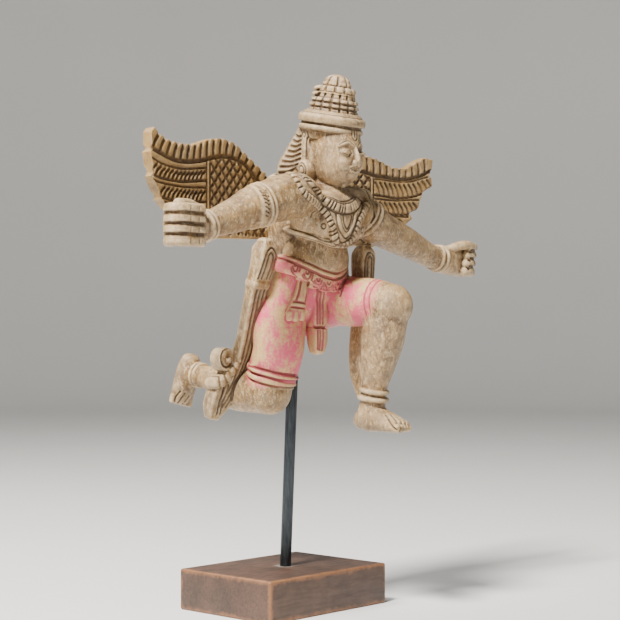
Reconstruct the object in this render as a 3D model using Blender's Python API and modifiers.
"""A carved wooden garuda, flying, on a steel rod that stands in a block plinth.

Metres, +Z up. The origin is the centre of the plinth's underside. The figure faces -Y.
The plinth and the rod have sizes of their own. The figure and its wings are a free
form: their places are written as on a drawing in millimetres, whose SEAT is the rod's
upper end and whose size is set by FIGURE_HEIGHT.
"""

import math

import bmesh
import bpy
import numpy as np
from mathutils import Matrix, Vector
from mathutils.bvhtree import BVHTree
from mathutils.kdtree import KDTree

# Driving sizes
PLINTH_WIDTH = 0.150
PLINTH_DEPTH = 0.112
PLINTH_HEIGHT = 0.036
PLINTH_EDGE = 0.0018
ROD_DIAMETER = 0.0100
ROD_RISE = 0.244
ROD_SUNK = 0.024
ROD_SET_BACK = 0.0017
ROD_LEAN = math.radians(2.9)
FIGURE_HEIGHT = 0.312
WING_THICKNESS = 0.0110
WING_SWEEP = math.radians(-6.2)
TENON_LENGTH = 0.014
TENON_ROOTED = 0.004
TENON_HEIGHT = 0.030
TENON_THICKNESS = 0.0070
FIT_GAP = 0.0003

# The drawing of the figure, in millimetres
DRAWN_HEIGHT = 312.0
SEAT = Vector((0.0, -14.0, 280.0))
WING_ROOT_SPAN = 30.0
WING_FACE_Y = -8.7
TENON_MIDDLE = 350.0
SEAT_HEIGHT = 70.0
SEAT_LENGTH = 60.0
UNIT = FIGURE_HEIGHT / DRAWN_HEIGHT

# How fine the carved solids are
FIGURE_TRIANGLES = 6500
WING_TRIANGLES = 1450
FIGURE_VOXEL = 1.25 * UNIT
WING_VOXEL = 1.1 * UNIT
ROD_SIDES = 24

# Where the rod stands, and the point that carries the figure
ROD_AXIS = Vector((0.0, -math.sin(ROD_LEAN), math.cos(ROD_LEAN)))
ROD_FOOT = Vector((0.0, -ROD_SET_BACK, PLINTH_HEIGHT))
ROD_TOP = ROD_FOOT + ROD_AXIS * (ROD_RISE / math.cos(ROD_LEAN))


def spot(x, y, z):
    """The place in the world of a point on the drawing."""
    return ROD_TOP + (Vector((x, y, z)) - SEAT) * UNIT


def collection(name):
    group = bpy.data.collections.new(name)
    bpy.context.scene.collection.children.link(group)
    return group


def material(name, color, roughness, metallic=0.0):
    finish = bpy.data.materials.new(name)
    finish.use_nodes = True
    shader = finish.node_tree.nodes["Principled BSDF"]
    shader.inputs["Base Color"].default_value = (*color, 1.0)
    shader.inputs["Roughness"].default_value = roughness
    shader.inputs["Metallic"].default_value = metallic
    return finish


def object_from(bm, name, group, finish=None):
    """A bmesh becomes an object in the group, with its material."""
    bm.normal_update()
    bmesh.ops.recalc_face_normals(bm, faces=bm.faces)
    mesh = bpy.data.meshes.new(name)
    bm.to_mesh(mesh)
    bm.free()
    piece = bpy.data.objects.new(name, mesh)
    group.objects.link(piece)
    if finish:
        mesh.materials.append(finish)
    return piece


def apply_modifiers(piece):
    """The evaluated mesh takes the place of the object's own."""
    bpy.context.view_layer.update()
    graph = bpy.context.evaluated_depsgraph_get()
    made = bpy.data.meshes.new_from_object(piece.evaluated_get(graph))
    piece.modifiers.clear()
    piece.data = made


def cut(piece, cutter):
    modifier = piece.modifiers.new("cut", "BOOLEAN")
    modifier.operation = "DIFFERENCE"
    modifier.solver = "EXACT"
    modifier.object = cutter
    cutter.hide_render = True
    cutter.display_type = "WIRE"


# Forms that the carver blocks out

def smooth_path(knots, step):
    """Rows of numbers read along a Catmull-Rom curve through the knots, about a step apart."""
    rows = np.array(knots, float)
    ends = np.vstack([2 * rows[0] - rows[1], rows, 2 * rows[-1] - rows[-2]])
    path = []
    for before, start, stop, after in zip(ends, ends[1:], ends[2:], ends[3:]):
        count = max(1, round(float(np.linalg.norm((stop - start)[:3])) / step))
        for t in np.arange(count) / count:
            bend = 2 * before - 5 * start + 4 * stop - after
            twist = 3 * start - before - 3 * stop + after
            path.append(start + t / 2 * (stop - before + t * (bend + t * twist)))
    path.append(rows[-1])
    return np.array(path)


def limb(bm, knots, side=(1, 0, 0), bands=(), boxy=1.0, step=2.0, sides=24, domes=True):
    """A closed tube. A knot is x, y, z, half size along side and half size across it.

    A band is x, y, z, half width and height: a raised ring around the tube there.
    Boxy under 1 squares the section.
    """
    path = smooth_path(knots, step)
    run = np.gradient(path[:, :3], axis=0)
    run /= np.linalg.norm(run, axis=1)[:, None]
    swell = np.zeros(len(path))
    for x, y, z, half_width, height in bands:
        away = np.linalg.norm(path[:, :3] - (x, y, z), axis=1)
        along = np.abs((path[:, :3] - path[away.argmin(), :3]) @ run[away.argmin()])
        swell = np.maximum(swell, height * np.clip(1.5 - along / half_width, 0, 1))
    rings = [(row[:3], axis, row[3] + more, row[4] + more) for row, axis, more in zip(path, run, swell)]
    if domes:
        rings = dome(rings[0], -1) + rings + dome(rings[-1], 1)[::-1]
    loops = []
    for centre, axis, half, depth in rings:
        across = Vector(side) - Vector(axis) * Vector(side).dot(Vector(axis))
        across.normalize()
        front = Vector(axis).cross(across)
        made = bmesh.ops.create_circle(bm, segments=sides, radius=1.0)["verts"]
        for vert in made:
            c = math.copysign(abs(vert.co.x) ** boxy, vert.co.x)
            s = math.copysign(abs(vert.co.y) ** boxy, vert.co.y)
            vert.co = spot(*(Vector(centre) + across * (half * c) + front * (depth * s)))
        loops.append(list({edge for vert in made for edge in vert.link_edges}))
    for lower, upper in zip(loops, loops[1:]):
        bmesh.ops.bridge_loops(bm, edges=lower + upper)
    bmesh.ops.holes_fill(bm, edges=loops[0] + loops[-1], sides=0)


def dome(ring, way):
    """Three shrinking rings that round off a tube's end, the smallest first."""
    centre, axis, half, depth = ring
    reach = min(half, depth) * 0.6 * way
    turns = [math.radians(angle) for angle in (80, 55, 28)]
    return [
        (centre + axis * reach * math.sin(turn), axis, half * math.cos(turn), depth * math.cos(turn))
        for turn in turns
    ]


def ball(bm, x, y, z, half_x, half_y, half_z, tilt=0.0):
    """An ellipsoid, tilted about X by an angle in degrees."""
    size = Matrix.Diagonal((half_x * UNIT, half_y * UNIT, half_z * UNIT, 1.0))
    turn = Matrix.Rotation(math.radians(tilt), 4, "X")
    place = Matrix.Translation(spot(x, y, z)) @ turn @ size
    bmesh.ops.create_uvsphere(bm, u_segments=20, v_segments=12, radius=1.0, matrix=place)


def finger(bm, points, radius):
    limb(bm, [(*point, radius, radius) for point in points], side=(0.3, 0.2, 1), sides=10, step=1.5)


def carve(piece, strokes):
    """Push a surface in or out along strokes: path, half width and depth in millimetres.

    Each path is laid on the nearest surface first. A depth below zero raises a ridge.
    """
    mesh = piece.data
    count = len(mesh.vertices)
    places = np.empty(count * 3)
    normals = np.empty(count * 3)
    mesh.vertices.foreach_get("co", places)
    mesh.vertices.foreach_get("normal", normals)
    places = places.reshape(-1, 3)
    tree = KDTree(count)
    for index, place in enumerate(places):
        tree.insert(place, index)
    tree.balance()
    surface = BVHTree.FromPolygons(places.tolist(), [face.vertices[:] for face in mesh.polygons])
    shift = np.zeros(count)
    for path, half_width, depth in strokes:
        width = half_width * UNIT
        for point in smooth_path(path, 0.8):
            ground = surface.find_nearest(spot(*point))[0]
            for _, index, away in tree.find_range(ground, width):
                amount = -depth * UNIT * (1 - (away / width) ** 2)
                if abs(amount) > abs(shift[index]):
                    shift[index] = amount
    places += normals.reshape(-1, 3) * shift[:, None]
    mesh.vertices.foreach_set("co", places.ravel())
    mesh.update()


def fuse(bm, name, group, finish, voxel, soften):
    """Everything in the bmesh becomes one skin."""
    piece = object_from(bm, name, group, finish)
    skin = piece.modifiers.new("skin", "REMESH")
    skin.mode = "VOXEL"
    skin.voxel_size = voxel
    smooth = piece.modifiers.new("soften", "SMOOTH")
    smooth.factor = 0.5
    smooth.iterations = soften
    apply_modifiers(piece)
    return piece


def thin_out(piece, triangles):
    """Keep about so many triangles, where the form needs them."""
    have = sum(len(face.vertices) - 2 for face in piece.data.polygons)
    fewer = piece.modifiers.new("fewer", "DECIMATE")
    fewer.ratio = triangles / have
    fewer.use_collapse_triangulate = True
    apply_modifiers(piece)


# The figure, from the hips up

def make_torso(bm):
    trunk = [
        (0, -10, 256, 30, 23), (0, -17, 270, 40, 30), (0, -25, 286, 39, 30), (0, -34, 302, 34, 27),
        (0, -42, 318, 32, 25), (0, -49, 334, 38, 27), (-1, -55, 347, 43, 24), (-2, -59, 358, 41, 19),
        (-2, -61, 367, 28, 17), (-1, -56, 374, 16, 15.5), (0, -54, 384, 15.5, 15.5),
    ]
    chest_band = (0, -47.5, 329, 3.4, 1.8)
    belt = (0, -28, 293, 3.0, 2.0)
    limb(bm, trunk, bands=[chest_band, belt], sides=32)
    for side in (-1, 1):
        ball(bm, 18 * side, -65, 340, 16, 11, 12, tilt=-20)
    back_panel = [(0, -25, 320, 22, 14), (0, -19, 332, 29, 25), (0, -18, 344, 31, 27), (0, -18, 366, 31, 27),
                  (0, -19, 378, 30, 25), (0, -24, 387, 21, 17)]
    limb(bm, back_panel, boxy=0.3, sides=32, domes=False)
    collar = (-2, -62, 366, 2.2, 3.5)
    limb(bm, trunk[7:9], bands=[collar], sides=32)


def make_apron(bm):
    """The scalloped cloth over the hips, the tassel on the thigh and the hanging tail."""
    for turn in np.radians(np.arange(-60, 61, 15)):
        low = 280 + 18 * abs(math.sin(turn + 0.1)) ** 1.3
        x = 41 * math.sin(turn) - 2
        y = -23 - 34.5 * math.cos(turn)
        top = (x * 0.93, y + 1.5, low + 13, 6.5, 3)
        limb(bm, [top, (x, y, low + 2, 5.5, 3.2)], side=(math.cos(turn), math.sin(turn), 0), sides=12)
    tassel = [(-27, -46, 290, 5, 4), (-28, -46.5, 280, 7, 4.5), (-31, -44, 266, 8, 4.5), (-33, -42, 258, 8.5, 4)]
    limb(bm, tassel, side=(1, -0.25, 0), boxy=0.5, sides=16)
    tail = [(2, -36, 290, 6.6, 7), (3, -37, 272, 7.2, 8), (4, -37.5, 250, 7.6, 8.5), (4.8, -38, 236, 7.6, 8.5),
            (4.6, -37.5, 227, 5.8, 6.2)]
    limb(bm, tail, boxy=0.5, sides=16)


def make_head(bm):
    skull = [
        (0, -73, 374.5, 8, 8), (0, -69, 380, 15.5, 15), (0, -65, 388, 19.5, 20), (0, -62, 398, 21.5, 23.5),
        (0, -60, 410, 21.5, 24), (0, -58, 421, 20.5, 23),
    ]
    limb(bm, skull, sides=28)
    hair = [(0, -38, 424, 18, 8), (0, -33, 410, 19, 13), (0, -28, 396, 19, 18), (0, -27, 386, 18, 19),
            (0, -32, 379, 15, 15)]
    limb(bm, hair, boxy=0.8)
    for side in (-1, 1):
        limb(bm, [(21.5 * side, -45, 419, 3, 3.5), (22 * side, -45, 396, 3, 3)], sides=12)
        ball(bm, 22 * side, -46, 387, 4, 7, 8)
        ball(bm, 8.5 * side, -82.5, 403.5, 5.5, 2.6, 2.8)
        ball(bm, 9 * side, -82, 411, 7, 2.4, 1.6)
        ball(bm, 2.6 * side, -84.5, 393.5, 2.6, 2.6, 2.0)
    limb(bm, [(0, -83, 408, 1.8, 2), (0, -85.5, 400, 2.2, 2.4), (0, -86.5, 394.5, 2.8, 2.8)], sides=12)
    ball(bm, 0, -84, 387.2, 5.5, 2.4, 1.5)
    ball(bm, 0, -83, 384.2, 4.5, 2.4, 1.6)
    ball(bm, 0, -78, 378.5, 7, 6, 5)


CROWN_FOOT = np.array((0.0, -56.0, 421.0))
CROWN_AXIS = np.array((0.0, -0.19, 0.98))


def make_crown(bm):
    """Turned tiers on a leaning axis: height above the brim and radius."""
    profile = [
        (-2, 26), (0, 28), (4, 28.5), (5, 26.8), (6.5, 29), (11, 29.6), (14, 27.8), (16.5, 24), (17, 21.2),
        (23.3, 20.6), (24.2, 19.0), (25.2, 20.0), (30.3, 18.6), (31.2, 16.2), (32, 17.4), (35, 16.8),
        (35.8, 15.2), (36.6, 16.0), (38.8, 14.8), (39.6, 11.4), (42.5, 10.8), (46, 8), (48.3, 3),
    ]
    knots = [(*(CROWN_FOOT + CROWN_AXIS * height), radius, radius) for height, radius in profile]
    limb(bm, knots, sides=40, step=1.2, domes=False)


def crown_cuts():
    """Upright cuts between the crown's blocks, on the grid tiers and on the dome."""
    strokes = []
    for low, high, radius, count in ((17.5, 30, 20.5, 18), (31.5, 38.5, 17, 16), (40, 47, 10, 10)):
        for turn in np.arange(count) * math.tau / count:
            out = np.array((math.cos(turn), math.sin(turn), 0.19 * math.sin(turn))) * radius
            strokes.append(([CROWN_FOOT + CROWN_AXIS * low + out, CROWN_FOOT + CROWN_AXIS * high + out * 0.9],
                            1.6, 1.1))
    return strokes


def make_arms(bm):
    right = [
        (-36, -58, 362, 17, 17), (-56, -60, 360, 19.5, 18), (-71, -60, 357, 19.5, 18),
        (-88, -60, 352, 17.7, 16.5), (-106, -60, 346.5, 16.5, 15), (-124, -60, 340, 14.2, 13),
        (-150, -60, 332, 11, 11), (-162, -60, 329, 10.5, 10.5),
    ]
    left = [
        (34, -58, 352, 16, 17), (50, -60, 343, 17, 17.5), (62, -60, 338, 16, 16.5), (98, -60, 327.5, 14, 14),
        (120, -60, 320.5, 12, 12), (135, -60, 316, 11, 11), (156, -60, 312.5, 10.5, 10.5),
    ]
    right_bands = [(-89.5, -60, 351.6, 1.6, 2.2), (-94, -60, 350.3, 1.6, 2.0), (-103, -60, 347.4, 5.5, 1.4),
                   (-150, -60, 332, 2.6, 2.4), (-156, -60, 330, 1.8, 2.8)]
    left_bands = [(41, -60, 348, 1.6, 2.0), (45.5, -60, 346, 1.6, 2.2), (142, -60, 315, 2.6, 2.4),
                  (148, -60, 314, 1.8, 2.8)]
    limb(bm, right, side=(0, 0, 1), bands=right_bands, step=1.0)
    limb(bm, left, side=(0, 0, 1), bands=left_bands, step=1.0)


def make_hands(bm):
    """Two closed fists. A finger runs out past the knuckles, bends to the front and comes back."""
    right_palm = [(-160, -60, 330, 13, 9), (-172, -60, 330, 15.5, 9.5), (-188, -60, 330, 15.5, 8.5)]
    limb(bm, right_palm, side=(0, 0, 1), boxy=0.7)
    left_palm = [(153, -60, 313, 12, 9), (165, -60, 313, 15, 9.5), (181, -60, 313, 14.5, 8)]
    limb(bm, left_palm, side=(0, 0, 1), boxy=0.7)
    for row in range(4):
        high = 342 - 8.4 * row
        finger(bm, [(-191, -57, high), (-195, -63, high), (-189, -70, high), (-167, -69, high)], 4.6)
        high = 325.5 - 7.8 * row
        out = 192 - 1.5 * row
        finger(bm, [(out - 4, -55, high), (out, -62, high), (out - 3, -70, high), (out - 13, -70.5, high)], 4.3)
    finger(bm, [(-166, -62, 344), (-176, -67, 346), (-186, -69, 345.5)], 4.8)
    finger(bm, [(158, -66, 321), (168, -70, 326), (182, -71, 327.5)], 4.8)


# The figure, from the hips down

def make_kneeling_leg(bm):
    """The right leg: the thigh hangs straight down, and the shin runs back from the knee."""
    thigh = [(-21, -15, 262, 24, 26), (-27.5, -20, 248, 22.8, 24), (-29.3, -21, 230, 21.8, 22.8),
             (-29.5, -15, 212, 21.8, 22), (-31, -11, 197, 20.5, 20.5)]
    limb(bm, thigh, bands=[(-29, -15, 210, 2.4, 2.2), (-30, -12, 203, 2.4, 2.2)], step=1.0)
    ball(bm, -31, -11.5, 192.5, 19.5, 20, 20)
    shin = [(-32, -8, 193, 19, 19.5), (-33, 10, 194, 19, 20), (-34, 26, 195, 18.5, 20), (-35, 42, 198, 15, 17),
            (-36, 55, 202.5, 11.5, 12), (-36, 66, 205, 10.3, 10.3), (-36, 84, 207, 10.3, 10.3)]
    limb(bm, shin, bands=[(-36, 69.5, 205.6, 1.8, 2.0), (-36, 74.5, 206.4, 1.8, 2.2)], step=1.0)
    foot = [(-36, 86, 221, 9, 8), (-36, 88, 213, 11, 9.5), (-36, 90, 203, 11.5, 9.5), (-37, 92, 192, 12.5, 8),
            (-37, 94, 185, 12.5, 6)]
    limb(bm, foot)
    for toe in range(5):
        x = -47 + 4.9 * toe
        finger(bm, [(x, 92, 188), (x, 92, 181.5 - 0.8 * toe)], 2.5 + 0.25 * toe)


def make_forward_leg(bm):
    """The left leg: the thigh points forward and the shin hangs to a flat foot."""
    thigh = [(18, -20, 268, 23, 23), (24, -38, 273, 23, 23), (28, -62, 272, 22, 22), (30, -84, 271, 20.5, 20.5),
             (30, -96, 269, 18.5, 18.5)]
    limb(bm, thigh)
    ball(bm, 30, -100.5, 268, 18.5, 19, 19.5)
    shin = [(30, -98, 264, 17.5, 17.5), (30, -93, 250, 18.5, 19), (30, -89.5, 236, 18.5, 19),
            (30, -84, 212, 14.5, 14.5), (30, -81, 197, 11.4, 11.4), (30, -79, 186, 11.5, 11.5),
            (30, -77, 172, 12, 13)]
    limb(bm, shin, bands=[(30, -80, 193, 2.2, 2.4), (30, -79, 186, 2.2, 2.6)], step=1.0)
    foot = [(30, -66, 166, 10, 7.5), (30, -73, 169, 12.5, 11), (30, -87, 168.5, 13.5, 10.5),
            (30, -101, 165.5, 14, 7.5), (30, -112, 163.5, 13.5, 5.5)]
    limb(bm, foot, boxy=0.85)
    for toe in range(5):
        x = 19.5 + 5.2 * toe
        radius = 3.8 - 0.3 * toe
        finger(bm, [(x, -105, 163.5), (x, -117 + 1.2 * toe, 158.5 + radius)], radius)


NEAR_SASH = [
    (-49, -24, 324, 5.5, 5.5), (-48.5, -23, 317, 9, 8.5), (-48, -20, 305, 10, 8.5), (-49.5, -13, 287, 8.4, 7.5),
    (-50, -9, 273, 7.8, 7), (-48, -3, 256, 8.6, 7), (-47.5, 4, 238, 10, 7.5), (-51, 11, 222, 14, 7.5),
    (-54, 15, 212, 17, 7.5), (-53, 19, 200, 15, 7.5), (-54, 23, 190, 13, 7.5), (-56, 29, 178, 10, 6.5),
    (-57, 32, 172, 7, 5),
]
FAR_SASH = [
    (51, -50, 322, 5.5, 5), (51, -50, 316, 8.5, 8), (51, -49.5, 305, 9, 8), (51, -49, 285, 8, 7.5),
    (51, -49, 265, 8, 7.5), (50, -49, 245, 9, 8), (49, -50, 228, 11, 8), (48, -53, 212, 13, 8),
    (45, -58, 200, 11, 8), (41, -63, 190, 8, 7), (38, -66, 184, 5, 5),
]


def make_sashes(bm):
    """Two looped sash ends: the near one crosses the shin, the far one meets the forward ankle."""
    for knots in (NEAR_SASH, FAR_SASH):
        clasp = (*knots[3][:3], 3.5, 1.5)
        limb(bm, knots, bands=[clasp], boxy=0.45, step=1.5)


def sash_grooves():
    """Long cuts down the front face of each sash."""
    strokes = []
    for knots in (NEAR_SASH, FAR_SASH):
        for share in (-0.55, 0.0, 0.55):
            path = [(x + share * half, y - deep, z) for x, y, z, half, deep in knots[1:-2]]
            strokes.append((path, 1.5, 1.0))
    return strokes


def hair_cuts():
    """Level cuts that part the locks on both sides and the back of the hair."""
    strokes = []
    for row in range(8):
        high = 416 - 4.6 * row
        back = -26 + 2.2 * row
        for side in (-1, 1):
            path = [(19 * side, -38, high), (19 * side, back - 8, high - 1), (9 * side, back + 4, high - 2),
                    (0, back + 8, high - 2.5)]
            strokes.append((path, 1.6, 1.1))
    return strokes


def neck_chains():
    """The long necklace and its pendant, raised from the chest."""
    chain = [(-33, -62, 372), (-29, -73, 355), (-20, -78, 338), (-9, -78, 326), (0, -76, 319),
             (9, -78, 325), (19, -78, 336), (28, -73, 350), (31, -62, 364)]
    collar = [(-24, -68, 373), (-17, -78, 358), (-7, -81, 350), (5, -81, 348), (16, -78, 354), (22, -68, 366)]
    pendant = [(-8, -80, 347), (-6, -80, 336), (0, -79, 330), (6, -80, 335), (8, -80, 346)]
    return [(chain, 2.6, -1.7), (collar, 3.2, -1.5), (pendant, 1.8, -1.0)]


def make_figure(group, finish):
    bm = bmesh.new()
    for build in (make_torso, make_apron, make_head, make_crown, make_arms, make_hands,
                  make_kneeling_leg, make_forward_leg, make_sashes):
        build(bm)
    figure = fuse(bm, "figure", group, finish, FIGURE_VOXEL, soften=3)
    carve(figure, crown_cuts() + sash_grooves() + hair_cuts() + neck_chains())
    thin_out(figure, FIGURE_TRIANGLES)
    return figure


# The wings, drawn by span from the middle and height

TOP_EDGE = [(38, 387.5), (54.5, 396.5), (75, 407.5), (92, 410.3), (108, 408), (128, 401.5), (146, 401)]
RIGHT_TIPS = [(160, 402.5), (170, 406), (177, 411), (180.5, 407), (180, 393.5), (181.5, 391), (177.5, 374.5),
              (179.5, 371.5), (168.5, 356), (168.5, 353.5), (158, 346)]
LEFT_TIPS = [(153, 404.5), (172, 413.5), (183, 412), (180.5, 400), (177, 396), (180.5, 394.5), (182, 386),
             (170.5, 380), (165, 371), (162.5, 362.5), (152, 359), (154.5, 353.5), (145, 347)]
LOWER_EDGE = [(130, 331), (102, 324.5), (43, 326.5)]
ROOT_ENDS = [(WING_ROOT_SPAN, 328), (WING_ROOT_SPAN, 383.5)]
BAND_EDGE = [(32, 367), (43.5, 375.5), (57, 384), (75, 392.5), (92, 394), (110.5, 389.5), (140, 389),
             (160.5, 394.5), (175, 400)]
SEPARATOR_SPAN = 108
FEATHER_LINES = [(383, 381.5, 386), (373, 371, 373.5), (367.5, 366, 369), (355, 353.5, 354.5),
                 (350.5, 349, 350), (341, 339, 341)]


def wing_spot(side, span, height, proud=0.0):
    """A point on a wing's front face, on the drawing: proud is towards the front."""
    return (side * span, WING_FACE_Y + (span - WING_ROOT_SPAN) * math.tan(WING_SWEEP) - proud, height)


def wing_strokes(side, back):
    """Cuts in one face: the ribbed leading band, the feather rows and the lattice."""
    deep = WING_THICKNESS / UNIT * back

    def laid(points):
        return [wing_spot(side, span, height, -deep) for span, height in points]

    strokes = [(laid(BAND_EDGE), 2.0, 1.7)]
    strokes.append((laid([(SEPARATOR_SPAN, 328), (SEPARATOR_SPAN, 388)]), 1.6, 1.2))
    for heights in FEATHER_LINES:
        strokes.append((laid(zip((SEPARATOR_SPAN, 146, 175), heights)), 1.6, 1.2))
    band = smooth_path([(*point, 0) for point in BAND_EDGE], 6.8)
    for low, after in zip(band, band[1:]):
        lean = np.array((after[1] - low[1], low[0] - after[0]))
        lean = lean / np.linalg.norm(lean) * -17
        strokes.append((laid([low[:2], low[:2] + lean * 0.6 + (2, 0), low[:2] + lean + (6, 0)]), 1.5, 1.1))
    if not back:
        for step in range(6):
            foot = 38 + 13 * step
            strokes.append((laid([(foot, 330), (min(foot + 28, 106), 330 + 1.9 * min(28, 106 - foot))]), 1.3, 0.9))
            strokes.append((laid([(foot, 330), (max(foot - 28, 34), 330 + 1.9 * min(28, foot - 34))]), 1.3, 0.9))
    return strokes


def make_wing(name, side, tips, group, finish):
    """A board sawn to the wing's outline, with a tenon on its root, carved on both faces."""
    outline = [*TOP_EDGE, *tips, *LOWER_EDGE, *ROOT_ENDS]
    curve = bpy.data.curves.new(name, "CURVE")
    curve.dimensions = "2D"
    curve.fill_mode = "BOTH"
    curve.extrude = WING_THICKNESS / 2
    line = curve.splines.new("POLY")
    line.points.add(len(outline) - 1)
    for point, (span, height) in zip(line.points, outline):
        point.co = (span * UNIT, height * UNIT, 0.0, 1.0)
    line.use_cyclic_u = True
    sheet = bpy.data.objects.new(name, curve)
    group.objects.link(sheet)
    bpy.context.view_layer.update()
    graph = bpy.context.evaluated_depsgraph_get()
    board = bpy.data.meshes.new_from_object(sheet.evaluated_get(graph))
    bpy.data.objects.remove(sheet)
    bm = bmesh.new()
    bm.from_mesh(board)
    bmesh.ops.remove_doubles(bm, verts=bm.verts, dist=1e-6)
    thick = WING_THICKNESS / UNIT / 2
    for vert in bm.verts:
        depth = -thick + vert.co.z / UNIT
        vert.co = spot(*wing_spot(side, vert.co.x / UNIT, vert.co.y / UNIT, depth))
    wing = fuse(bm, name, group, finish, WING_VOXEL, soften=2)
    carve(wing, wing_strokes(side, 0) + wing_strokes(side, 1))
    thin_out(wing, WING_TRIANGLES)
    return wing


def wing_peg(name, side, group, spans, height, thickness, gap):
    """A square block in line with the wing, between two spans, grown all round by the gap."""
    middle = WING_THICKNESS / UNIT / 2
    bm = bmesh.new()
    bmesh.ops.create_cube(bm, size=2.0)
    for vert in bm.verts:
        span = (spans[0] - gap if vert.co.x < 0 else spans[1]) / UNIT
        high = TENON_MIDDLE + vert.co.z * (height / 2 + gap) / UNIT
        deep = middle + vert.co.y * (thickness / 2 + gap) / UNIT
        vert.co = spot(*wing_spot(side, span, high, -deep))
    return object_from(bm, name, group)


def let_in(figure, wing, side, tools):
    """The wing gets a tenon on its root, and the figure a mortise and a seat for the board."""
    root = WING_ROOT_SPAN * UNIT
    tenon = (root - TENON_LENGTH, root + TENON_ROOTED)
    join = wing.modifiers.new("tenon", "BOOLEAN")
    join.operation = "UNION"
    join.solver = "EXACT"
    join.object = wing_peg(wing.name + "_tenon", side, tools, tenon, TENON_HEIGHT, TENON_THICKNESS, 0.0)
    join.object.hide_render = True
    join.object.display_type = "WIRE"
    cut(figure, wing_peg(wing.name + "_mortise", side, tools, tenon, TENON_HEIGHT, TENON_THICKNESS, FIT_GAP))
    seat = (root, root + SEAT_LENGTH * UNIT)
    cut(figure, wing_peg(wing.name + "_seat", side, tools, seat, SEAT_HEIGHT * UNIT, WING_THICKNESS, FIT_GAP))


# The rod and the plinth

def rod_shape(name, group, foot, top, radius, finish=None):
    """A round bar along the rod's axis. Foot and top are measured from the plinth's top."""
    middle = ROD_FOOT + ROD_AXIS * ((foot + top) / 2)
    turn = ROD_AXIS.to_track_quat("Z", "Y").to_matrix().to_4x4()
    bm = bmesh.new()
    bmesh.ops.create_cone(bm, cap_ends=True, segments=ROD_SIDES, radius1=radius, radius2=radius,
                          depth=top - foot, matrix=Matrix.Translation(middle) @ turn)
    return object_from(bm, name, group, finish)


def make_plinth(group, finish):
    bm = bmesh.new()
    size = Matrix.Diagonal((PLINTH_WIDTH, PLINTH_DEPTH, PLINTH_HEIGHT, 1.0))
    bmesh.ops.create_cube(bm, size=1.0, matrix=Matrix.Translation((0, 0, PLINTH_HEIGHT / 2)) @ size)
    bmesh.ops.bevel(bm, geom=bm.edges[:], offset=PLINTH_EDGE, segments=2, profile=0.5,
                    affect="EDGES", material=-1)
    return object_from(bm, "plinth", group, finish)


def main():
    for piece in list(bpy.data.objects):
        bpy.data.objects.remove(piece)
    group = collection("garuda_sculpture")
    tools = collection("cutters")
    carved = material("aged_cream_wood", (0.46, 0.36, 0.22), 0.62)
    golden = material("golden_brown_wood", (0.34, 0.22, 0.10), 0.58)
    steel = material("blackened_steel", (0.045, 0.052, 0.06), 0.38, 0.85)
    stained = material("dark_stained_wood", (0.095, 0.050, 0.034), 0.48)

    radius = ROD_DIAMETER / 2
    length = ROD_RISE / math.cos(ROD_LEAN)
    rod_shape("rod", group, -ROD_SUNK, length, radius, steel)

    plinth = make_plinth(group, stained)
    reach = ROD_SUNK + FIT_GAP
    cut(plinth, rod_shape("rod_hole", tools, -reach, PLINTH_HEIGHT, radius + FIT_GAP))

    figure = make_figure(group, carved)
    cut(figure, rod_shape("rod_socket", tools, 0.0, length + FIT_GAP, radius + FIT_GAP))

    for name, side, tips in (("wing_right", -1, RIGHT_TIPS), ("wing_left", 1, LEFT_TIPS)):
        let_in(figure, make_wing(name, side, tips, group, golden), side, tools)

    for piece in group.objects:
        piece.data.shade_smooth()
        piece.data.set_sharp_from_angle(angle=math.radians(40))


main()
